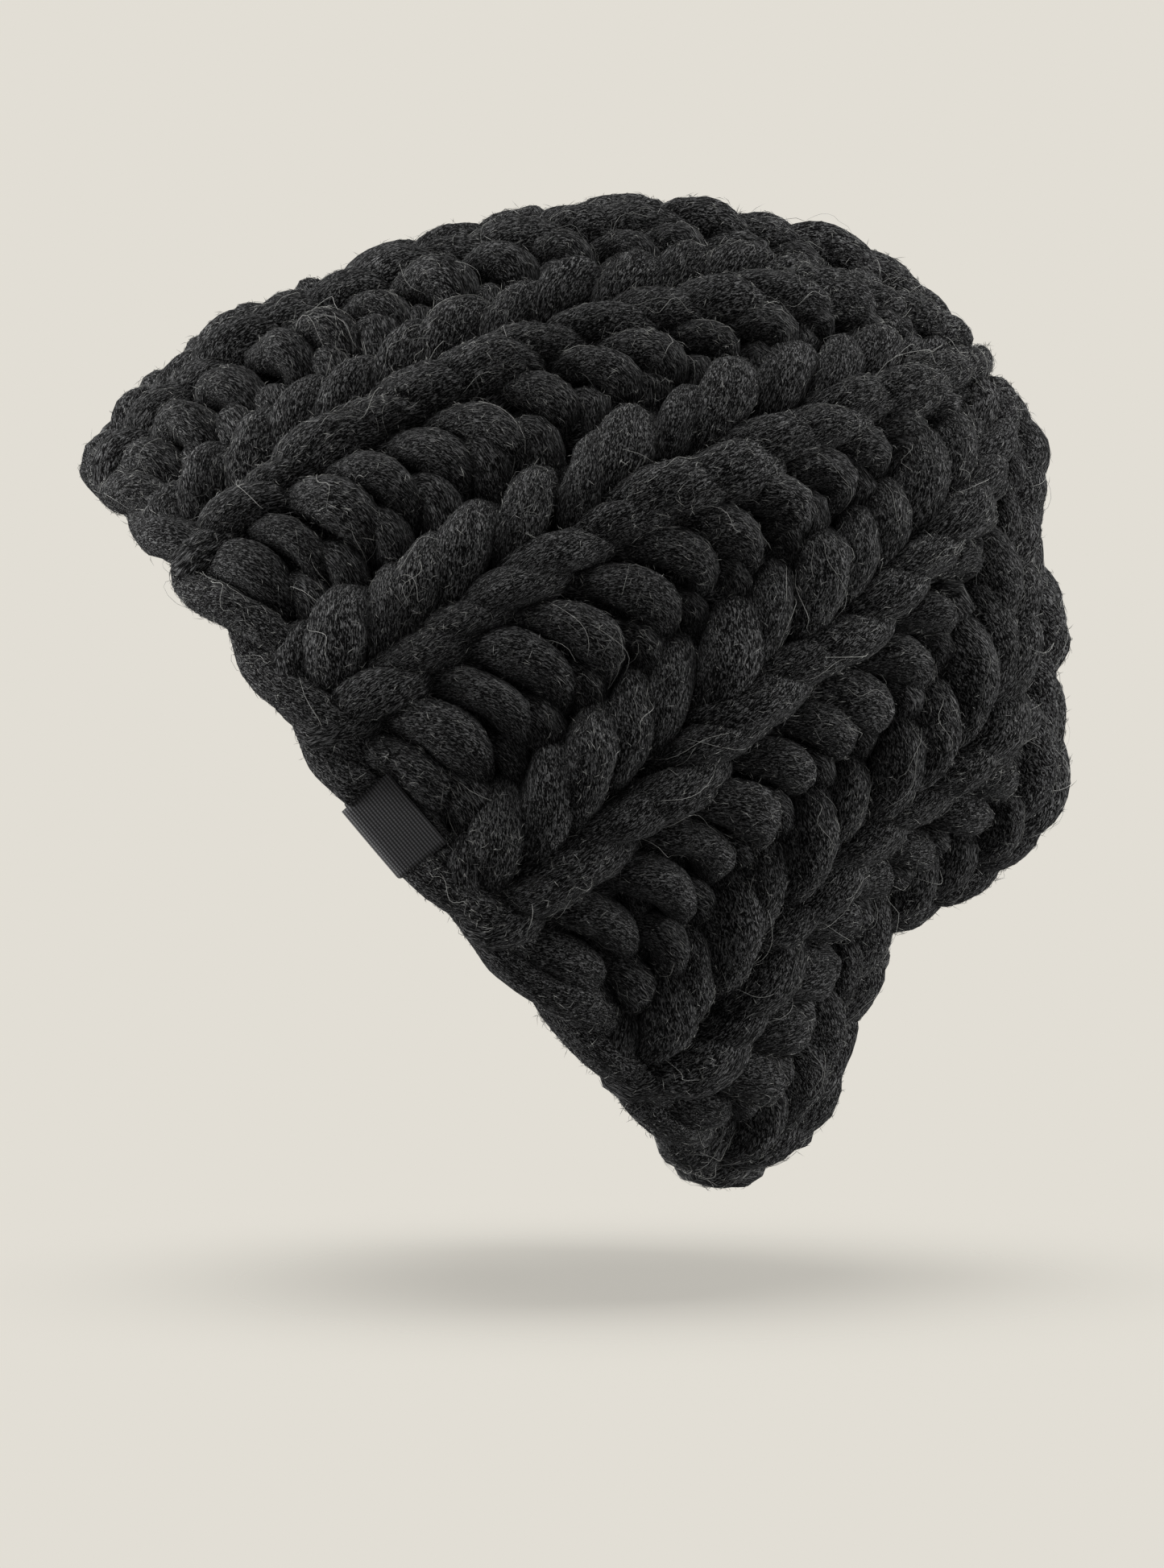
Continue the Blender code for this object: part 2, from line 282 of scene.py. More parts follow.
def add_node(tree, kind, inputs=(), **settings):
    """A node with its settings; each input is a value, or another node's output to link."""
    node = tree.nodes.new(kind)
    for name, value in settings.items():
        setattr(node, name, value)
    for name, value in dict(inputs).items():
        if isinstance(value, bpy.types.NodeSocket):
            tree.links.new(value, node.inputs[name])
        else:
            node.inputs[name].default_value = value
    return node


def wool_roving():
    """Unspun wool: fine crimped fibres in loose locks, matte, with a soft sheen where they stand up."""
    material = bpy.data.materials.new("wool_roving")
    material.use_nodes = True
    tree = material.node_tree
    shader = tree.nodes["Principled BSDF"]
    yarn = add_node(tree, "ShaderNodeAttribute", attribute_name="yarn").outputs["Vector"]

    def streaks(width, length, detail, distortion):
        """Noise drawn out along the strand, with streaks of a real width and length."""
        lie = add_node(
            tree, "ShaderNodeMapping", {"Vector": yarn, "Scale": (1 / width, 1 / width, 1 / length)}
        ).outputs["Vector"]
        return add_node(
            tree,
            "ShaderNodeTexNoise",
            {"Vector": lie, "Scale": 1.0, "Detail": detail, "Roughness": 0.65, "Distortion": distortion},
        ).outputs["Fac"]

    # Wool fibres are 0.03 mm thick: they are drawn as bundles that still show in the picture.
    fibres = streaks(width=0.30 * MM, length=0.8 * MM, detail=1.0, distortion=1.0)
    locks = streaks(width=4.0 * MM, length=10 * MM, detail=1.0, distortion=0.5)
    tone = add_node(
        tree, "ShaderNodeMapRange", {"Value": fibres, "From Min": 0.48, "From Max": 0.72}
    ).outputs["Result"]
    shade = add_node(
        tree,
        "ShaderNodeMix",
        {0: tone, 6: linear("#010101"), 7: linear("#747474")},
        data_type="RGBA",
    ).outputs[2]
    patch = add_node(
        tree,
        "ShaderNodeMapRange",
        {"Value": locks, "From Min": 0.3, "From Max": 0.7, "To Min": 0.8, "To Max": 1.15},
    ).outputs["Result"]
    colour = add_node(tree, "ShaderNodeVectorMath", {0: shade, "Scale": patch}, operation="SCALE")
    tree.links.new(colour.outputs["Vector"], shader.inputs["Base Color"])
    relief = add_node(tree, "ShaderNodeMath", {0: locks, 1: 0.8, 2: fibres}, operation="MULTIPLY_ADD")
    bump = add_node(
        tree, "ShaderNodeBump", {"Height": relief.outputs["Value"], "Strength": 1.0, "Distance": 0.7 * MM}
    )
    tree.links.new(bump.outputs["Normal"], shader.inputs["Normal"])
    shader.inputs["Roughness"].default_value = 0.95
    shader.inputs["Specular IOR Level"].default_value = 0.0
    shader.inputs["Sheen Weight"].default_value = 0.05
    shader.inputs["Sheen Roughness"].default_value = 0.6
    return material


wool = wool_roving()

CAST_ON_MIDDLE = 8.2 * MM
PLY_REACH = 2.5 * MM
PLY_UP, PLY_OUT = 1.25 * PLY_REACH, 1.15 * PLY_REACH
PLY_MIDDLE_OUT = 1.6 * MM
PLY_RADIUS = 5.0 * MM
PLY_POINTS = 8
PLY_WOBBLE, PLY_UNEVEN = 0.12, 0.06


def ply(number):
    """One of the two strands of the edge: it winds once round the edge in every repeat."""
    count = REPEATS * PLY_POINTS
    turn = np.arange(count) * 2 * math.pi / PLY_POINTS + number * math.pi
    wobble = 1 + PLY_WOBBLE * slow_noise(count, 3)
    angle = FIRST_REPEAT + np.arange(count) * TURN / PLY_POINTS
    rise = CAST_ON_MIDDLE - PLY_UP * np.cos(turn) * wobble
    out = PLY_MIDDLE_OUT - PLY_OUT * np.sin(turn - math.pi)
    return strand_way(angle, rise, out, PLY_RADIUS * (1 + PLY_UNEVEN * slow_noise(count, 2)))


for number in (0, 1):
    strand = yarn_piece(f"cast_on_ply_{number + 1}", ply(number), wool)
    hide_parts("cast_on_edge")

# Rib courses: fourteen rounds of knit-one, purl-one in the same roving, each one unbroken strand.
# A knit stitch shows its two legs, the left a fat leaf and the right a narrow rope; a purl stitch
# shows its head as an arc lying across the front and its foot as a shorter arc beside the next leaf.
COURSES = 14
CAST_ON_RISE = 0.014
GATHER_LENGTH = 0.026
GATHER_RISE = CROWN_RISE - GATHER_LENGTH
COURSE_PITCH = (GATHER_RISE - CAST_ON_RISE) / COURSES
V_DROP = 0.0105
BRIM_V_SHARES = (0.2, 0.35, 0.60, 0.85)
REPEAT_WIDTH = 57.7
KNIT_SHARE, ROPE_FROM = 0.52, 0.32
LOWEST_RISE = 7.5 * MM
# A closed V makes a stitch shorter; at the crown the stitches crowd, squeeze and sink under the ropes.
LEAST_TALL, OPEN_TALL = 0.74, 0.26
CROWN_KNIT_SHARE = 0.94
CROWD_FROM = 0.55
KNIT_SQUEEZE, PURL_LEAST = 0.34, 0.5
ROPE_SINK, LEAF_SINK, PURL_SINK = -1.0, 7.0, 6.0
# Where the fabric is stretched over a swell, the strand is fatter, so that it still closes the gaps.
SLACK_POWER, MOST_SLACK = 1.5, 1.4
# Spread of each stitch from its place: across, up and out in millimetres, and a share of its radius.
STITCH_SPREAD = (1.2, 1.2, 0.7, 0.09)
# The strand's way through one repeat, in millimetres: across, up, out and its own radius.
LEAF = (
    (17.5, 1.5, -6.5, 4.8),
    (14, 7, -0.3, 6.0),
    (9.5, 14, 1.8, 6.7),
    (5.2, 20, 0.1, 6.3),
    (3.2, 24.5, -4.8, 5.2),
)
KNIT_HEAD = ((6, 29, -8.4, 5.8), (12, 31.5, -10, 6.3), (19, 31, -9.6, 6.1), (25, 27.5, -5.0, 5.3))
ROPE = (
    (26.6, 23, 0.4, 5.6),
    (25.2, 17.5, 2.8, 6.2),
    (23.2, 11.5, 2.8, 6.2),
    (21.2, 5.5, 0.2, 5.6),
    (20.2, 1.5, -4.6, 4.6),
)
KNIT_FOOT = ((21, -0.5, -9, 5.9), (27, -2, -8.4, 6.5), (31.5, -1, -5.0, 5.7))
PURL_RISE = ((32.5, 2, -6.0, 5.5), (33.8, 9, -8.8, 7.3))
PURL_HEAD = (
    (28.8, 11.5, -6, 4.9),
    (31.5, 15.0, -1.2, 5.0),
    (36, 19.0, 1.2, 6.1),
    (41.5, 22.0, 2.0, 6.4),
    (47, 22.8, 0.8, 6.1),
    (51.3, 21.2, -2.8, 5.0),
    (53, 17, -7.4, 5.6),
)
PURL_FALL = ((51.5, 10.5, -9.6, 7.6), (42, 6.5, -9.2, 7.6))
PURL_FOOT = ((46.5, -1, -5, 4.9), (50, 1.2, -1.4, 5.1), (54.5, 1.0, -0.4, 5.2), (58.5, -1.4, -3.4, 5.2))
SINKER = ((63, -3.5, -7.6, 5.6), (68, -3, -10, 6.1), (72, -0.5, -9, 5.7))
STITCH = (LEAF, KNIT_HEAD, ROPE, KNIT_FOOT, PURL_RISE, PURL_HEAD, PURL_FALL, PURL_FOOT, SINKER)


def narrowed(share, fullness):
    """Towards the crown the knit legs keep their width and the purl arcs between them close up."""
    knit = CROWN_KNIT_SHARE - (CROWN_KNIT_SHARE - KNIT_SHARE) * fullness
    whole = np.floor(share)
    part = share - whole
    return whole + np.where(
        part < KNIT_SHARE,
        part / KNIT_SHARE * knit,
        knit + (part - KNIT_SHARE) / (1 - KNIT_SHARE) * (1 - knit),
    )


stitch_rng = np.random.default_rng(5)


def course(number):
    """The way of one round of the rib; the loops on the cast-on edge are round -1."""
    base = CAST_ON_RISE + number * COURSE_PITCH
    opened = BRIM_V_SHARES[number + 1] if number + 1 < len(BRIM_V_SHARES) else 1.0
    low = base - V_DROP * opened * fullness_at(base)
    tall = LEAST_TALL + OPEN_TALL * opened
    rows = []
    for repeat in range(REPEATS):
        for part in STITCH:
            shift = stitch_rng.normal(size=4) * STITCH_SPREAD
            for across, up, out, radius in part:
                share = repeat + (across + shift[0]) / REPEAT_WIDTH
                rise = low + (up * tall + shift[1]) * MM
                rows.append((share, rise, out + shift[2], radius * (1 + shift[3])))
    share, rise, out, radius = np.array(rows).T
    rise = np.maximum(rise, LOWEST_RISE)
    fullness = fullness_at(rise)
    part = np.mod(share, 1.0)
    knit, rope = part < KNIT_SHARE, (part > ROPE_FROM) & (part < KNIT_SHARE)
    crowd = np.clip(1 - fullness / CROWD_FROM, 0.0, 1.0)
    squeeze = np.where(knit, 1 - KNIT_SQUEEZE * crowd, PURL_LEAST + (1 - PURL_LEAST) * fullness)
    sunk = np.where(rope, ROPE_SINK, np.where(knit, LEAF_SINK, PURL_SINK)) * crowd
    angle = FIRST_REPEAT + narrowed(share, fullness) * TURN
    above, below = fabric_point(angle, rise + MM, 0 * rise)[0], fabric_point(angle, rise - MM, 0 * rise)[0]
    stretch = np.linalg.norm(above - below, axis=1) / (2 * MM)
    slack = np.clip(stretch**SLACK_POWER, 1.0, MOST_SLACK)
    return strand_way(angle, rise, (out * squeeze - sunk) * MM, radius * squeeze * slack * MM)


row = yarn_piece("cast_on_loops", course(-1), wool)
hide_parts("cast_on_edge")
for number in range(COURSES):
    row = yarn_piece(f"course_{number + 1:02d}", course(number), wool)
    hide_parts(f"rib_course_{number + 1:02d}")

# Crown gather: the last round of loops, drawn together on the yarn end like a purse.
# Each knit wale brings one fat loop over the top and down into the hole in the middle.
GATHER_TOP = CROWN_RISE - 3 * MM
# One loop's way: across in repeats, then up, out and its own radius in millimetres. The spread goes with it.
GATHER_SPREAD = (0.02, 0.8, 0.4)
GATHER_LOOP = (
    (0.70, -7, -5.0, 3.8),
    (0.70, 0, 1.2, 5.0),
    (0.71, 8, 2.8, 4.6),
    (0.73, 14, 1.2, 3.4),
    (0.76, 18.5, -3.0, 2.4),
    (0.80, 20, -8.0, 2.4),
    (1.00, 14, -11.0, 3.0),
    (1.25, 4, -11.0, 3.4),
    (1.50, -5, -9.0, 3.6),
)
loops = []
for repeat in range(REPEATS):
    shift = rng.normal(size=3) * GATHER_SPREAD
    for share, up, out, radius in GATHER_LOOP:
        rise = GATHER_RISE + (up + shift[1]) * MM
        loops.append((repeat + share + shift[0], rise, (out + shift[2]) * MM, radius * MM))
share, rise, out, radius = np.array(loops).T
rise = np.minimum(rise, GATHER_TOP)
crown = yarn_piece("crown_loops", strand_way(FIRST_REPEAT + share * TURN, rise, out, radius), wool)
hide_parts("crown_gather")

# Closing yarn: the strand's end, passed through the last loops, pulled tight and tucked in.
# Two small turns of it fill the hole.
TURNS = 2
CLOSING_POINTS = 20
CLOSING_RADIUS = 3.2 * MM
# In millimetres: how far the turns lie below the crown and inside the fabric, and how far they stray.
CLOSING_DROP, CLOSING_SINK = 4.0, 3.0
CLOSING_BOB, CLOSING_SWAY = 1.5, 1.0
closing = []
for i in range(CLOSING_POINTS):
    turn = i * 2 * math.pi * TURNS / CLOSING_POINTS
    rise = CROWN_RISE - (CLOSING_DROP + CLOSING_BOB * math.cos(turn / TURNS)) * MM
    out = (CLOSING_SWAY * math.sin(turn / TURNS) - CLOSING_SINK) * MM
    closing.append((turn, rise, out, CLOSING_RADIUS))
turn, rise, out, radius = np.array(closing).T
knot = yarn_piece("closing_turns", strand_way(turn, rise, out, radius), wool)
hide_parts("closing_yarn")

# Back of the cast-on edge: the strand that runs on inside the brim, behind the two plies.
# The label is sewn over it, so it comes just before the label.
BACK_RADIUS, BACK_THINNED = 5.2 * MM, 0.2
# Its place in millimetres and how far it strays; by the label it is thinner and lies further out.
BACK_RISE, BACK_RISE_SPREAD = 13.0, 0.8
BACK_SINK, BACK_OUT_SPREAD = 5.6, 0.5
BACK_LIFT, BACK_LIFT_SPAN = 2.2, 0.15
BACK_POINTS = REPEATS * 4
back_angle = FIRST_REPEAT + np.arange(BACK_POINTS) * 2 * math.pi / BACK_POINTS
by_label = np.exp(-(((back_angle - LABEL_ANGLE) / BACK_LIFT_SPAN) ** 2))
back_rise = (BACK_RISE + BACK_RISE_SPREAD * slow_noise(BACK_POINTS, 2)) * MM
back_out = (BACK_LIFT * by_label - BACK_SINK + BACK_OUT_SPREAD * slow_noise(BACK_POINTS, 2)) * MM
back_way = strand_way(back_angle, back_rise, back_out, BACK_RADIUS * (1 - BACK_THINNED * by_label))
back = yarn_piece("cast_on_back", back_way, wool)
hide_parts("cast_on_edge")

# Brim label: a strip of fine woven polyester tape, folded under the brim and sewn through both layers.
# It shows the fine cross ribs of its weft and a fainter warp, and it bows slightly over the wool.
LABEL_THICKNESS = 0.8 * MM
LABEL_IN = -10.5 * MM
FACE_ROWS, FOLD_POINTS = 16, 10
FOLD_RISE, FOLD_DROP, FOLD_SQUARENESS = 3.2 * MM, 2.6 * MM, 0.6
LABEL_BOW, BOW_ACROSS, BOW_ALONG = 0.25 * MM, 3.0, 0.4


def label_profile():
    """Rise and out along the strip: down the outside, round under the edge and up the inside."""
    front = [(up, LABEL_OUT) for up in np.linspace(LABEL_HEIGHT, FOLD_RISE, FACE_ROWS)]
    back = [(up, LABEL_IN) for up in np.linspace(FOLD_RISE, LABEL_HEIGHT, FACE_ROWS)]
    middle, reach = (LABEL_OUT + LABEL_IN) / 2, (LABEL_OUT - LABEL_IN) / 2
    fold = []
    for i in range(1, FOLD_POINTS):
        turn = math.pi * i / FOLD_POINTS
        drop = FOLD_DROP * math.sin(turn) ** FOLD_SQUARENESS
        fold.append((FOLD_RISE - drop, middle + reach * math.cos(turn)))
    return front + fold + back


profile = np.array(label_profile())
ROWS, FILES = len(profile), 17
bpy.ops.mesh.primitive_grid_add(x_subdivisions=FILES - 1, y_subdivisions=ROWS - 1, size=2.0, calc_uvs=True)
label = bpy.context.object
label.name = "woven_label"
NEARBY = 0.01
beside = fabric_point(LABEL_ANGLE + np.array([-NEARBY, NEARBY]), np.zeros(2), np.zeros(2))[0]
chord = np.linalg.norm(np.diff(beside, axis=0))
half_angle = LABEL_WIDTH / 2 * (2 * NEARBY) / chord
for vertex in label.data.vertices:
    row = round((vertex.co.y + 1) / 2 * (ROWS - 1))
    rise, out = profile[row]
    angle = np.array([LABEL_ANGLE + vertex.co.x * half_angle])
    bow = LABEL_BOW * math.sin(BOW_ACROSS * vertex.co.x + BOW_ALONG * row)
    place = fabric_point(angle, np.array([max(rise, 0.0)]), np.array([out + bow]))[0][0]
    vertex.co = (place[0], place[1], rise)
wall = label.modifiers.new("wall", "SOLIDIFY")
wall.thickness = LABEL_THICKNESS
wall.offset = 0.0
bpy.ops.object.modifier_apply(modifier="wall")
bpy.ops.object.shade_smooth()


# The tape's real threads lie closer than these ribs, which are drawn as coarse as they need to show.
RIB_SPACING, WARP_SPACING = 0.75 * MM, 0.65 * MM
# A wave texture at scale 1 has one band in this length.
WAVE_LENGTH = 2 * math.pi / 20


def woven_tape():
    """Woven polyester: dark matte ribs from the weft, a fainter warp and a slight silky sheen."""
    material = bpy.data.materials.new("woven_polyester")
    material.use_nodes = True
    tree = material.node_tree
    shader = tree.nodes["Principled BSDF"]
    place = add_node(tree, "ShaderNodeTexCoord").outputs["Object"]
    ribs = add_node(
        tree,
        "ShaderNodeTexWave",
        {"Vector": place, "Scale": WAVE_LENGTH / RIB_SPACING, "Distortion": 0.5, "Detail": 1.0},
        bands_direction="Z",
    ).outputs["Fac"]
    warp = add_node(
        tree,
        "ShaderNodeTexWave",
        {"Vector": place, "Scale": WAVE_LENGTH / WARP_SPACING, "Distortion": 0.4, "Detail": 1.0},
        bands_direction="X",
    ).outputs["Fac"]
    faint = add_node(
        tree, "ShaderNodeMapRange", {"Value": warp, "To Min": 0.55, "To Max": 1.0}
    ).outputs["Result"]
    weave = add_node(tree, "ShaderNodeMath", {0: ribs, 1: faint}, operation="MULTIPLY").outputs[0]
    colour = add_node(
        tree,
        "ShaderNodeMix",
        {0: weave, 6: linear("#151516"), 7: linear("#666668")},
        data_type="RGBA",
    ).outputs[2]
    tree.links.new(colour, shader.inputs["Base Color"])
    bump = add_node(tree, "ShaderNodeBump", {"Height": weave, "Strength": 0.6, "Distance": 0.2 * MM})
    tree.links.new(bump.outputs["Normal"], shader.inputs["Normal"])
    shader.inputs["Roughness"].default_value = 0.75
    shader.inputs["Specular IOR Level"].default_value = 0.15
    return material


label.data.materials.append(woven_tape())
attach(label, "root")
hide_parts("brim_label")

# Loose fibres: roving is hardly spun, so the ends of single fibres lie and stand all over its surface.
# Most are short fuzz, some lie curled along the strand, and a few are long and stand well clear of it.
# Real ones are about 0.03 mm thick: these are drawn three to five times as thick, so that they show.
# The palest shade is painted highlight: it stands for the light that single fibres catch and let through. The
# darker shades are the fibres' own colour.
FUZZ_SHADES_AND_HIGHLIGHTS = ("#a4a4a0", "#5c5c5c", "#242424", "#101010")
FUZZ_EACH, CURLED, STRAYS = 30000, 6400, 1000
FUZZ_THICKNESS, CURL_THICKNESS = (0.10, 0.15), (0.08, 0.12)
# Places tried for each fibre, how far out the strand has to stand and face there, and the share inside.
TRIES, PROUD, FACING, INSIDE_SHARE = 12, 1.0 * MM, -0.1, 0.03
PATCH_SHARE, PATCH_SPREAD = 0.55, 0.35
# Fibres may lie this far over the label's edges.
LABEL_OVERLAP, LABEL_DEPTH = 1.5 * MM, 8 * MM
# Lengths, lifts, crimp and sway are in millimetres; bends are shares, and skews and paces are in radians.
FUZZ_LENGTHS, FUZZ_BEND = (0.8, 3.2), 0.12
FUZZ_LIFT, FUZZ_HIGHEST = 0.5, 2.5
FUZZ_RISE, FUZZ_BASE = np.array([0.0, 0.4, 1.0]), np.array([-0.1, 0.12, 0.05])
CURL_SKEW, CURL_SLACK = 0.9, 0.7
CRIMP, SWAY = (0.4, 1.8), (0.2, 1.2)
CURL_PACES = ((5, 2, 3), (14, 7, 9))
CURL_HEIGHT, CURL_BOB, CURL_LANDING = 0.9, 0.5, 1.25


def fibre_mesh(name, points, outward, width, material):
    """Closed three-sided spindles along rows of points, as one piece."""
    many, count = points.shape[:2]
    inner = count - 2
    ahead = unit(points[:, 2:] - points[:, :-2])
    across = unit(np.cross(ahead, outward[:, 1:-1]))
    beside = np.cross(across, ahead)
    turn = np.arange(3) * 2 * math.pi / 3
    ring = points[:, 1:-1, None] + width[:, None, None, None] * (
        np.cos(turn)[:, None] * beside[:, :, None] + np.sin(turn)[:, None] * across[:, :, None]
    )
    corners = np.concatenate((points[:, :1], ring.reshape(many, inner * 3, 3), points[:, -1:]), axis=1)
    per = inner * 3 + 2
    faces = []
    for j in range(3):
        k = (j + 1) % 3
        faces.append((0, 1 + k, 1 + j))
        faces.append((per - 1, per - 4 + j, per - 4 + k))
        for i in range(inner - 1):
            low, high = 1 + 3 * i, 4 + 3 * i
            faces.append((low + j, low + k, high + k))
            faces.append((low + j, high + k, high + j))
    faces = (np.array(faces)[None] + np.arange(many)[:, None, None] * per).reshape(-1, 3)
    mesh = bpy.data.meshes.new(name)
    mesh.vertices.add(many * per)
    mesh.vertices.foreach_set("co", corners.reshape(-1))
    mesh.loops.add(faces.size)
    mesh.loops.foreach_set("vertex_index", faces.reshape(-1))
    mesh.polygons.add(len(faces))
    mesh.polygons.foreach_set("loop_start", np.arange(len(faces)) * 3)
    mesh.update(calc_edges=True)
    mesh.shade_smooth()
    mesh.materials.append(material)
    piece = bpy.data.objects.new(name, mesh)
    bpy.context.scene.collection.objects.link(piece)
    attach(piece, "root")


surface, normal, out_of, facing_of, radius_of = [
    np.concatenate([strand[k] for strand in strands]) for k in range(5)
]
starts = np.cumsum([0] + [len(strand[0]) for strand in strands])
ring_counts = np.diff(starts)
owner = np.repeat(np.arange(len(strands)), ring_counts)


def on_strands(ring, spin, height):
    """Points over the strands' surface: which ring, which way round it and how high above it."""
    home = owner[ring[:, :1].astype(int) % starts[-1]]
    local = (ring - starts[home]) % ring_counts[home]
    step = np.mod(spin / (2 * math.pi), 1.0) * SIDES
    low, left = local.astype(int), step.astype(int)
    along, across = (local - low)[..., None], (step - left)[..., None]
    place, away = 0, 0
    for i, share in ((0, 1 - along), (1, along)):
        for j, part in ((0, 1 - across), (1, across)):
            here = (starts[home] + (low + i) % ring_counts[home], (left + j) % SIDES)
            place = place + share * part * surface[here]
            away = away + share * part * normal[here]
    away = unit(away)
    return place + height[..., None] * away, away


patches = np.concatenate([slow_noise(count, 9) for count in ring_counts])
label_middle = fabric_point(np.array([LABEL_ANGLE]), np.array([0.0]), np.array([LABEL_OUT]))[0][0]


def seeds(many):
    """Places on the outside of the hat for fibres to start, in patches: a ring and a way round it."""
    tries = many * TRIES
    ring = rng.integers(0, starts[-1], tries)
    spin = rng.uniform(0, 2 * math.pi, tries)
    radial = normal[ring, (spin / (2 * math.pi) * SIDES).astype(int) % SIDES]
    faces_out = np.einsum("ij,ij->i", radial, facing_of[ring])
    standing = out_of[ring] + radius_of[ring] * faces_out
    outside = (standing > PROUD) & (faces_out > FACING) | (rng.uniform(size=tries) < INSIDE_SHARE)
    kept = outside & (rng.uniform(size=tries) < PATCH_SHARE + PATCH_SPREAD * patches[ring])
    chosen = np.flatnonzero(kept)[:many]
    return ring[chosen].astype(float), spin[chosen]


def clear_of_label(points):
    """Which fibres stay off the label's face."""
    inside = np.abs(points[..., 0] - label_middle[0]) < LABEL_WIDTH / 2 - LABEL_OVERLAP
    over = inside & (points[..., 2] < LABEL_HEIGHT - LABEL_OVERLAP)
    return ~(over & (points[..., 1] < label_middle[1] + LABEL_DEPTH)).any(axis=1)


def fibre_wool(name, colour):
    """Single wool fibres: matte, with a shade for each batch; the palest shades are painted highlight for the
    light that fibres catch.
    """
    material = bpy.data.materials.new(name)
    material.use_nodes = True
    shader = material.node_tree.nodes["Principled BSDF"]
    shader.inputs["Base Color"].default_value = linear(colour)
    shader.inputs["Roughness"].default_value = 0.8
    shader.inputs["Specular IOR Level"].default_value = 0.1
    return material


def fuzz(many):
    """Short fibres in every direction, bent in the middle, with a lifted end."""
    ring, spin = seeds(many)
    many = len(ring)
    t = np.array([-0.5, 0.0, 0.5])
    length = rng.uniform(*FUZZ_LENGTHS, many) * MM
    askew = rng.uniform(-math.pi, math.pi, many)
    bend = rng.normal(0, FUZZ_BEND, many) * length
    radius = radius_of[ring.astype(int)]
    ahead = t[None] * (length * np.cos(askew))[:, None]
    aside = t[None] * (length * np.sin(askew))[:, None] + np.array([0, 1, 0])[None] * bend[:, None]
    lift = np.minimum(rng.exponential(FUZZ_LIFT, many), FUZZ_HIGHEST) * MM
    heights = lift[:, None] * FUZZ_RISE[None] + FUZZ_BASE[None] * MM
    return on_strands(ring[:, None] + ahead / RING_STEP, spin[:, None] + aside / radius[:, None], heights)


def curls(many, steps, shortest, longest, highest):
    """Long crimped fibres that have worked loose from the strand."""
    ring, spin = seeds(many)
    many = len(ring)
    t = np.linspace(0, 1, steps)
    length = rng.uniform(shortest, longest, many) * MM
    askew = rng.normal(0, CURL_SKEW, many)
    radius = radius_of[ring.astype(int)]
    phase = rng.uniform(0, 2 * math.pi, (3, many, 1))
    pace = rng.uniform(*CURL_PACES, (many, 3)).T[..., None]
    crimp = rng.uniform(*CRIMP, many)[:, None] * MM * np.sin(t[None] * pace[0] + phase[0])
    sway = rng.uniform(*SWAY, many)[:, None] * MM * np.sin(t[None] * pace[2] + phase[2])
    ahead = t[None] * (length * np.cos(askew))[:, None] * CURL_SLACK + sway
    aside = t[None] * (length * np.sin(askew))[:, None] * CURL_SLACK + crimp
    lift = np.minimum(rng.exponential(highest / 3, many), highest) * MM
    bob = CURL_HEIGHT + CURL_BOB * np.sin(t[None] * pace[1] + phase[1])
    heights = lift[:, None] * np.sin(math.pi * np.minimum(t * CURL_LANDING, 1.0))[None] * bob
    return on_strands(ring[:, None] + ahead / RING_STEP, spin[:, None] + aside / radius[:, None], heights)


def lay_fibres(name, made, thickness, colour):
    """One batch of fibres as a piece, clear of the label."""
    points, radial = made
    kept = clear_of_label(points)
    points, radial = settled(points[kept]), radial[kept]
    width = rng.uniform(*thickness, len(points)) * MM / 2
    fibre_mesh(name, points, radial, width, fibre_wool(name, colour))


for number, colour in enumerate(FUZZ_SHADES_AND_HIGHLIGHTS):
    lay_fibres(f"fuzz_{number + 1}", fuzz(FUZZ_EACH), FUZZ_THICKNESS, colour)
curled = curls(CURLED, steps=7, shortest=6, longest=16, highest=1.4)
lay_fibres("curled_fibres", curled, CURL_THICKNESS, "#6a6a68")
# The stray fibres' pale grey is painted highlight, for the light that they catch and let through.
strays = curls(STRAYS, steps=15, shortest=14, longest=34, highest=3.2)
lay_fibres("stray_fibres", strays, CURL_THICKNESS, "#b0b0ac")

# Floor, light and camera: the hat hangs tilted over a pale floor, seen from the label's side.
# The floor is matte paper that fades into the backdrop and shows the soft shadow alone.
TO_CAMERA = Vector((-0.1242, -0.9923, -0.0024)).normalized()
UP = Vector((-0.7613, 0.0937, 0.6415))
UP = (UP - TO_CAMERA * UP.dot(TO_CAMERA)).normalized()
RIGHT = UP.cross(TO_CAMERA)
MIDDLE_HEIGHT = 0.097
CENTRE = Vector((*PLAN_SHIFT, MIDDLE_HEIGHT))
AIM_LEFT, AIM_DOWN = 0.0196, 0.0544
AIM = CENTRE - RIGHT * AIM_LEFT - UP * AIM_DOWN
DISTANCE = 1.004
LENS, SENSOR = 91, 36
camera = bpy.data.objects.new("camera", bpy.data.cameras.new("camera"))
bpy.context.scene.collection.objects.link(camera)
camera.data.lens = LENS
camera.data.sensor_width = SENSOR
camera_turn = Matrix((RIGHT, UP, TO_CAMERA)).transposed().to_4x4()
camera.matrix_world = Matrix.Translation(AIM + TO_CAMERA * DISTANCE) @ camera_turn
bpy.context.scene.camera = camera

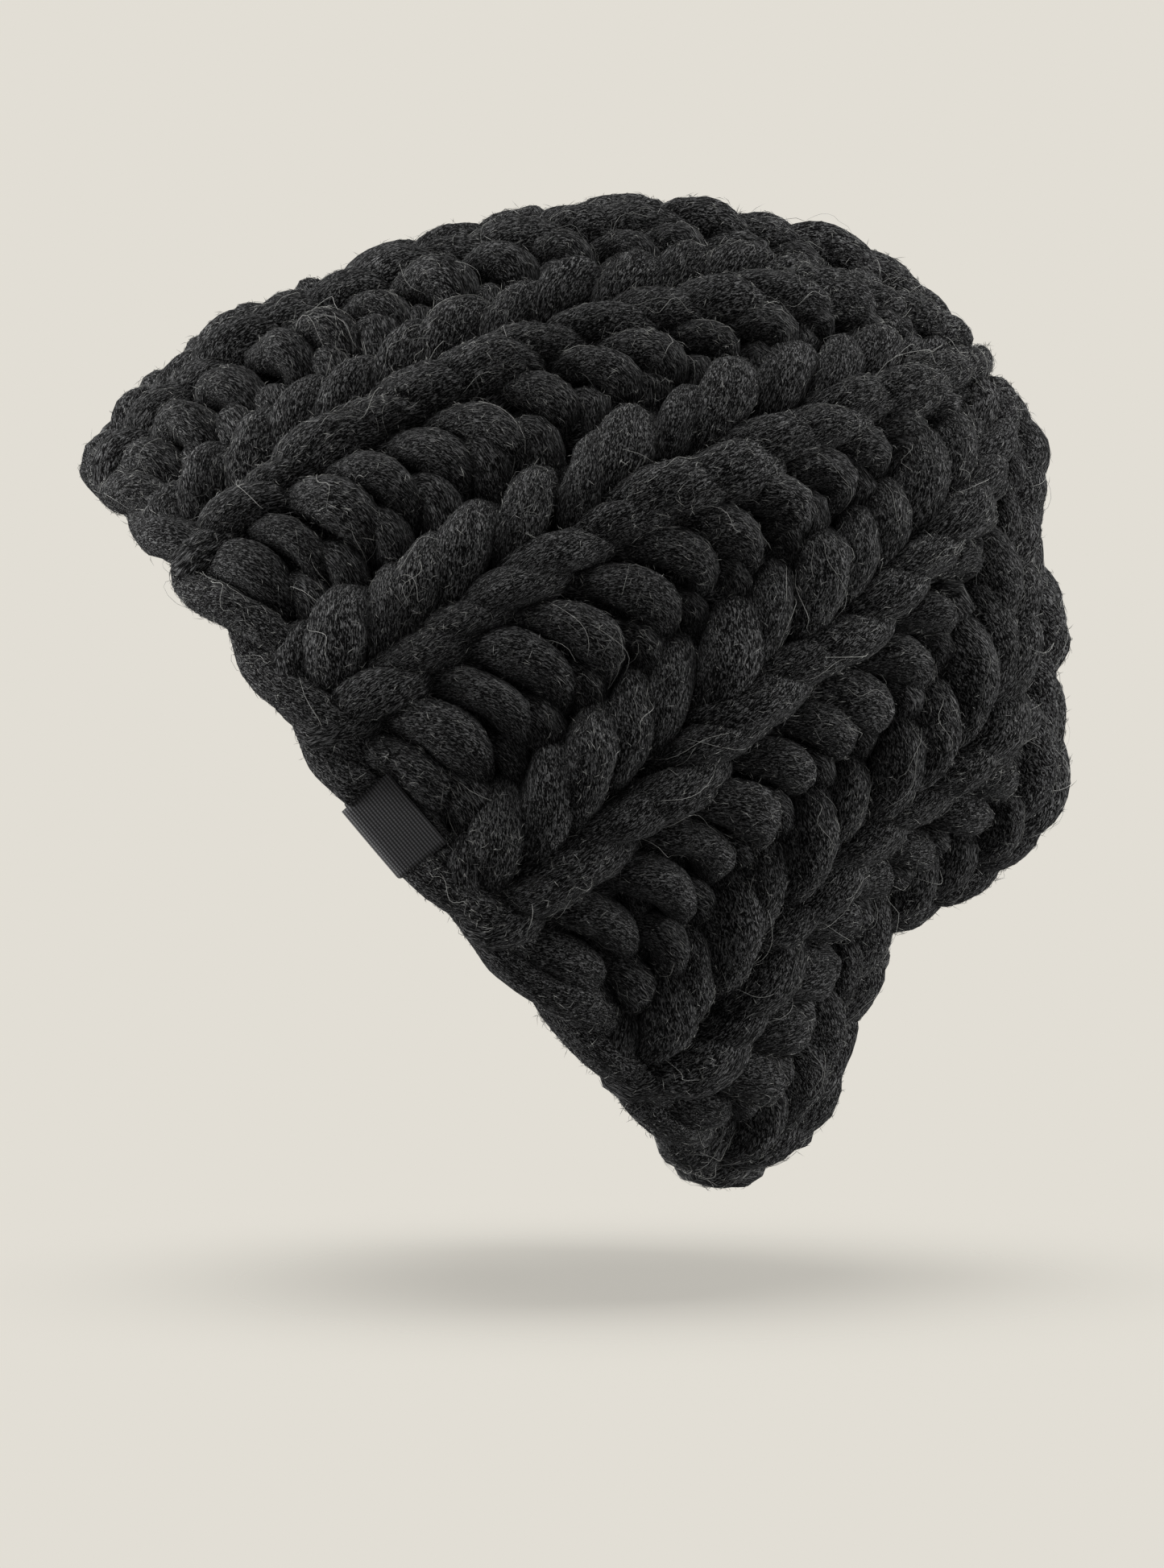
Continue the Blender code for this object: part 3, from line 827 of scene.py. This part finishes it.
PALE = linear("#e2ded5")
AMBIENT = 0.2
world = bpy.data.worlds.new("studio")
bpy.context.scene.world = world
world.use_nodes = True
tree = world.node_tree
tree.nodes.clear()
rays = add_node(tree, "ShaderNodeLightPath")
seen = rays.outputs["Is Camera Ray"]
for ray in ("Is Glossy Ray", "Is Transmission Ray"):
    seen = add_node(tree, "ShaderNodeMath", {0: seen, 1: rays.outputs[ray]}, operation="MAXIMUM").outputs[0]
ambient = add_node(tree, "ShaderNodeBackground", {"Color": (1, 1, 1, 1), "Strength": AMBIENT})
shown = add_node(tree, "ShaderNodeBackground", {"Color": PALE, "Strength": 1.0})
both = add_node(tree, "ShaderNodeMixShader", {0: seen, 1: ambient.outputs[0], 2: shown.outputs[0]})
add_node(tree, "ShaderNodeOutputWorld", {"Surface": both.outputs[0]})


def lamp(name, place, size, power):
    """A soft square lamp that faces the hat."""
    light = bpy.data.lights.new(name, "AREA")
    light.size = size
    light.energy = power
    holder = bpy.data.objects.new(name, light)
    bpy.context.scene.collection.objects.link(holder)
    holder.location = place
    holder.rotation_mode = "QUATERNION"
    holder.rotation_quaternion = (CENTRE - place).to_track_quat("-Z", "Y")


SIDE_REACH, SIDE_DROP, LEFT_FORWARD, BACK_REACH = 1.05, 0.02, 0.1, 1.2
lamp("left", CENTRE - RIGHT * SIDE_REACH - UP * SIDE_DROP + TO_CAMERA * LEFT_FORWARD, size=0.8, power=15)
lamp("right", CENTRE + RIGHT * SIDE_REACH - UP * SIDE_DROP, size=0.8, power=12)
lamp("back", CENTRE - TO_CAMERA * BACK_REACH, size=0.9, power=5)
SUN_STRENGTH, SUN_SOFTNESS, SUN_LEAN = 2.8, math.radians(50), 0.12
sun = bpy.data.lights.new("top", "SUN")
sun.energy = SUN_STRENGTH
sun.angle = SUN_SOFTNESS
holder = bpy.data.objects.new("top", sun)
bpy.context.scene.collection.objects.link(holder)
holder.rotation_mode = "QUATERNION"
holder.rotation_quaternion = (-UP - TO_CAMERA * SUN_LEAN).to_track_quat("-Z", "Y")

FLOOR_DROP = 0.1806
FLOOR_REACH = 0.22
FADE_FROM, FADE_TO = 0.1 * FLOOR_REACH, 0.96 * FLOOR_REACH
FLOOR_LIT = 0.5
bpy.ops.object.select_all(action="DESELECT")
bpy.ops.mesh.primitive_circle_add(vertices=96, radius=FLOOR_REACH, fill_type="NGON")
floor = bpy.context.object
floor.name = "floor"
floor_turn = Matrix((RIGHT, -TO_CAMERA, UP)).transposed().to_4x4()
floor.matrix_world = Matrix.Translation(CENTRE - UP * FLOOR_DROP) @ floor_turn
for ray in ("diffuse", "glossy", "transmission", "shadow"):
    setattr(floor, f"visible_{ray}", False)
paper = bpy.data.materials.new("floor_paper")
paper.use_nodes = True
tree = paper.node_tree
tree.nodes.clear()
place = add_node(tree, "ShaderNodeTexCoord").outputs["Object"]
away = add_node(tree, "ShaderNodeVectorMath", {0: place}, operation="LENGTH").outputs["Value"]
edge = add_node(
    tree,
    "ShaderNodeMapRange",
    {"Value": away, "From Min": FADE_FROM, "From Max": FADE_TO, "To Min": 1.0, "To Max": 0.0},
    interpolation_type="SMOOTHSTEP",
).outputs["Result"]
front = add_node(tree, "ShaderNodeNewGeometry").outputs["Backfacing"]
front = add_node(tree, "ShaderNodeMath", {0: 1.0, 1: front}, operation="SUBTRACT").outputs[0]
cover = add_node(tree, "ShaderNodeMath", {0: edge, 1: front}, operation="MULTIPLY").outputs[0]
glow = add_node(tree, "ShaderNodeEmission", {"Color": PALE, "Strength": 1.0}).outputs[0]
lit = add_node(tree, "ShaderNodeBsdfDiffuse", {"Color": linear("#c0bdb5")}).outputs[0]
sheet = add_node(tree, "ShaderNodeMixShader", {0: FLOOR_LIT, 1: glow, 2: lit}).outputs[0]
clear = add_node(tree, "ShaderNodeBsdfTransparent").outputs[0]
done = add_node(tree, "ShaderNodeMixShader", {0: cover, 1: clear, 2: sheet}).outputs[0]
add_node(tree, "ShaderNodeOutputMaterial", {"Surface": done})
floor.data.materials.append(paper)

bpy.context.scene.view_settings.view_transform = "Standard"
